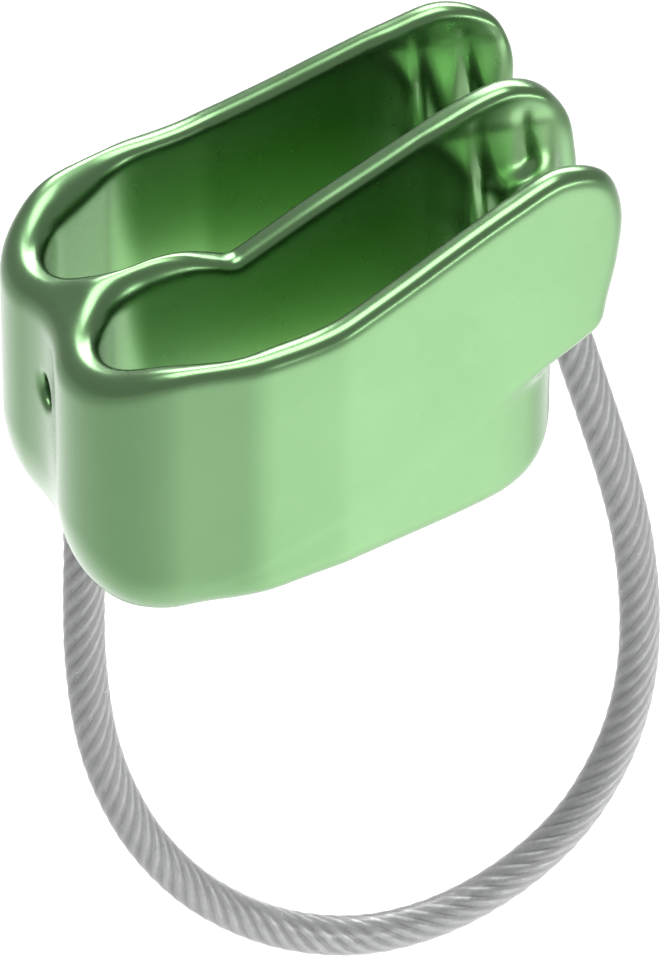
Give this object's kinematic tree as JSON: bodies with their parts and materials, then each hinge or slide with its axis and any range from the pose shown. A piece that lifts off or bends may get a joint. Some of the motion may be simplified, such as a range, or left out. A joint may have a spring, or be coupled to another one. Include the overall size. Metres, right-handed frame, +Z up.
{
  "type": "tubular belay device",
  "caption": "Two-slot tubular belay device with V-grooved braking nose, friction ridges and a sheathed wire-rope keeper loop.",
  "frame": {"origin": "the carabiner seat: the point on the middle plane, under the centre of the body, where the carabiner bears between the two rope slots", "axes": "+X towards the braking nose with the V channels, +Y across the two rope slots, +Z up along the rope slots, away from the keeper loop"},
  "size_m": [0.0667, 0.043, 0.1035],
  "materials": {
    "anodised": "satin green anodised",
    "steel": "drawn wire",
    "sheath": "clear extruded"
  },
  "bodies": {
    "device": {"body": "anodised", "heel_ferrule": "steel", "nose_ferrule": "steel"},
    "keeper": {"wire_rope": "steel", "cable_sheath": "sheath"}
  },
  "joints": [
    {"name": "keeper_swing", "type": "hinge", "parent": "device", "child": "keeper", "pos_m": [-0.0201, 0, -0.0026], "axis": [0.9355, 0, 0.3534], "range_deg": [-30, 30], "stiffness_Nm_per_rad": 0.15, "deforming": ["wire_rope", "cable_sheath"]}
  ]
}
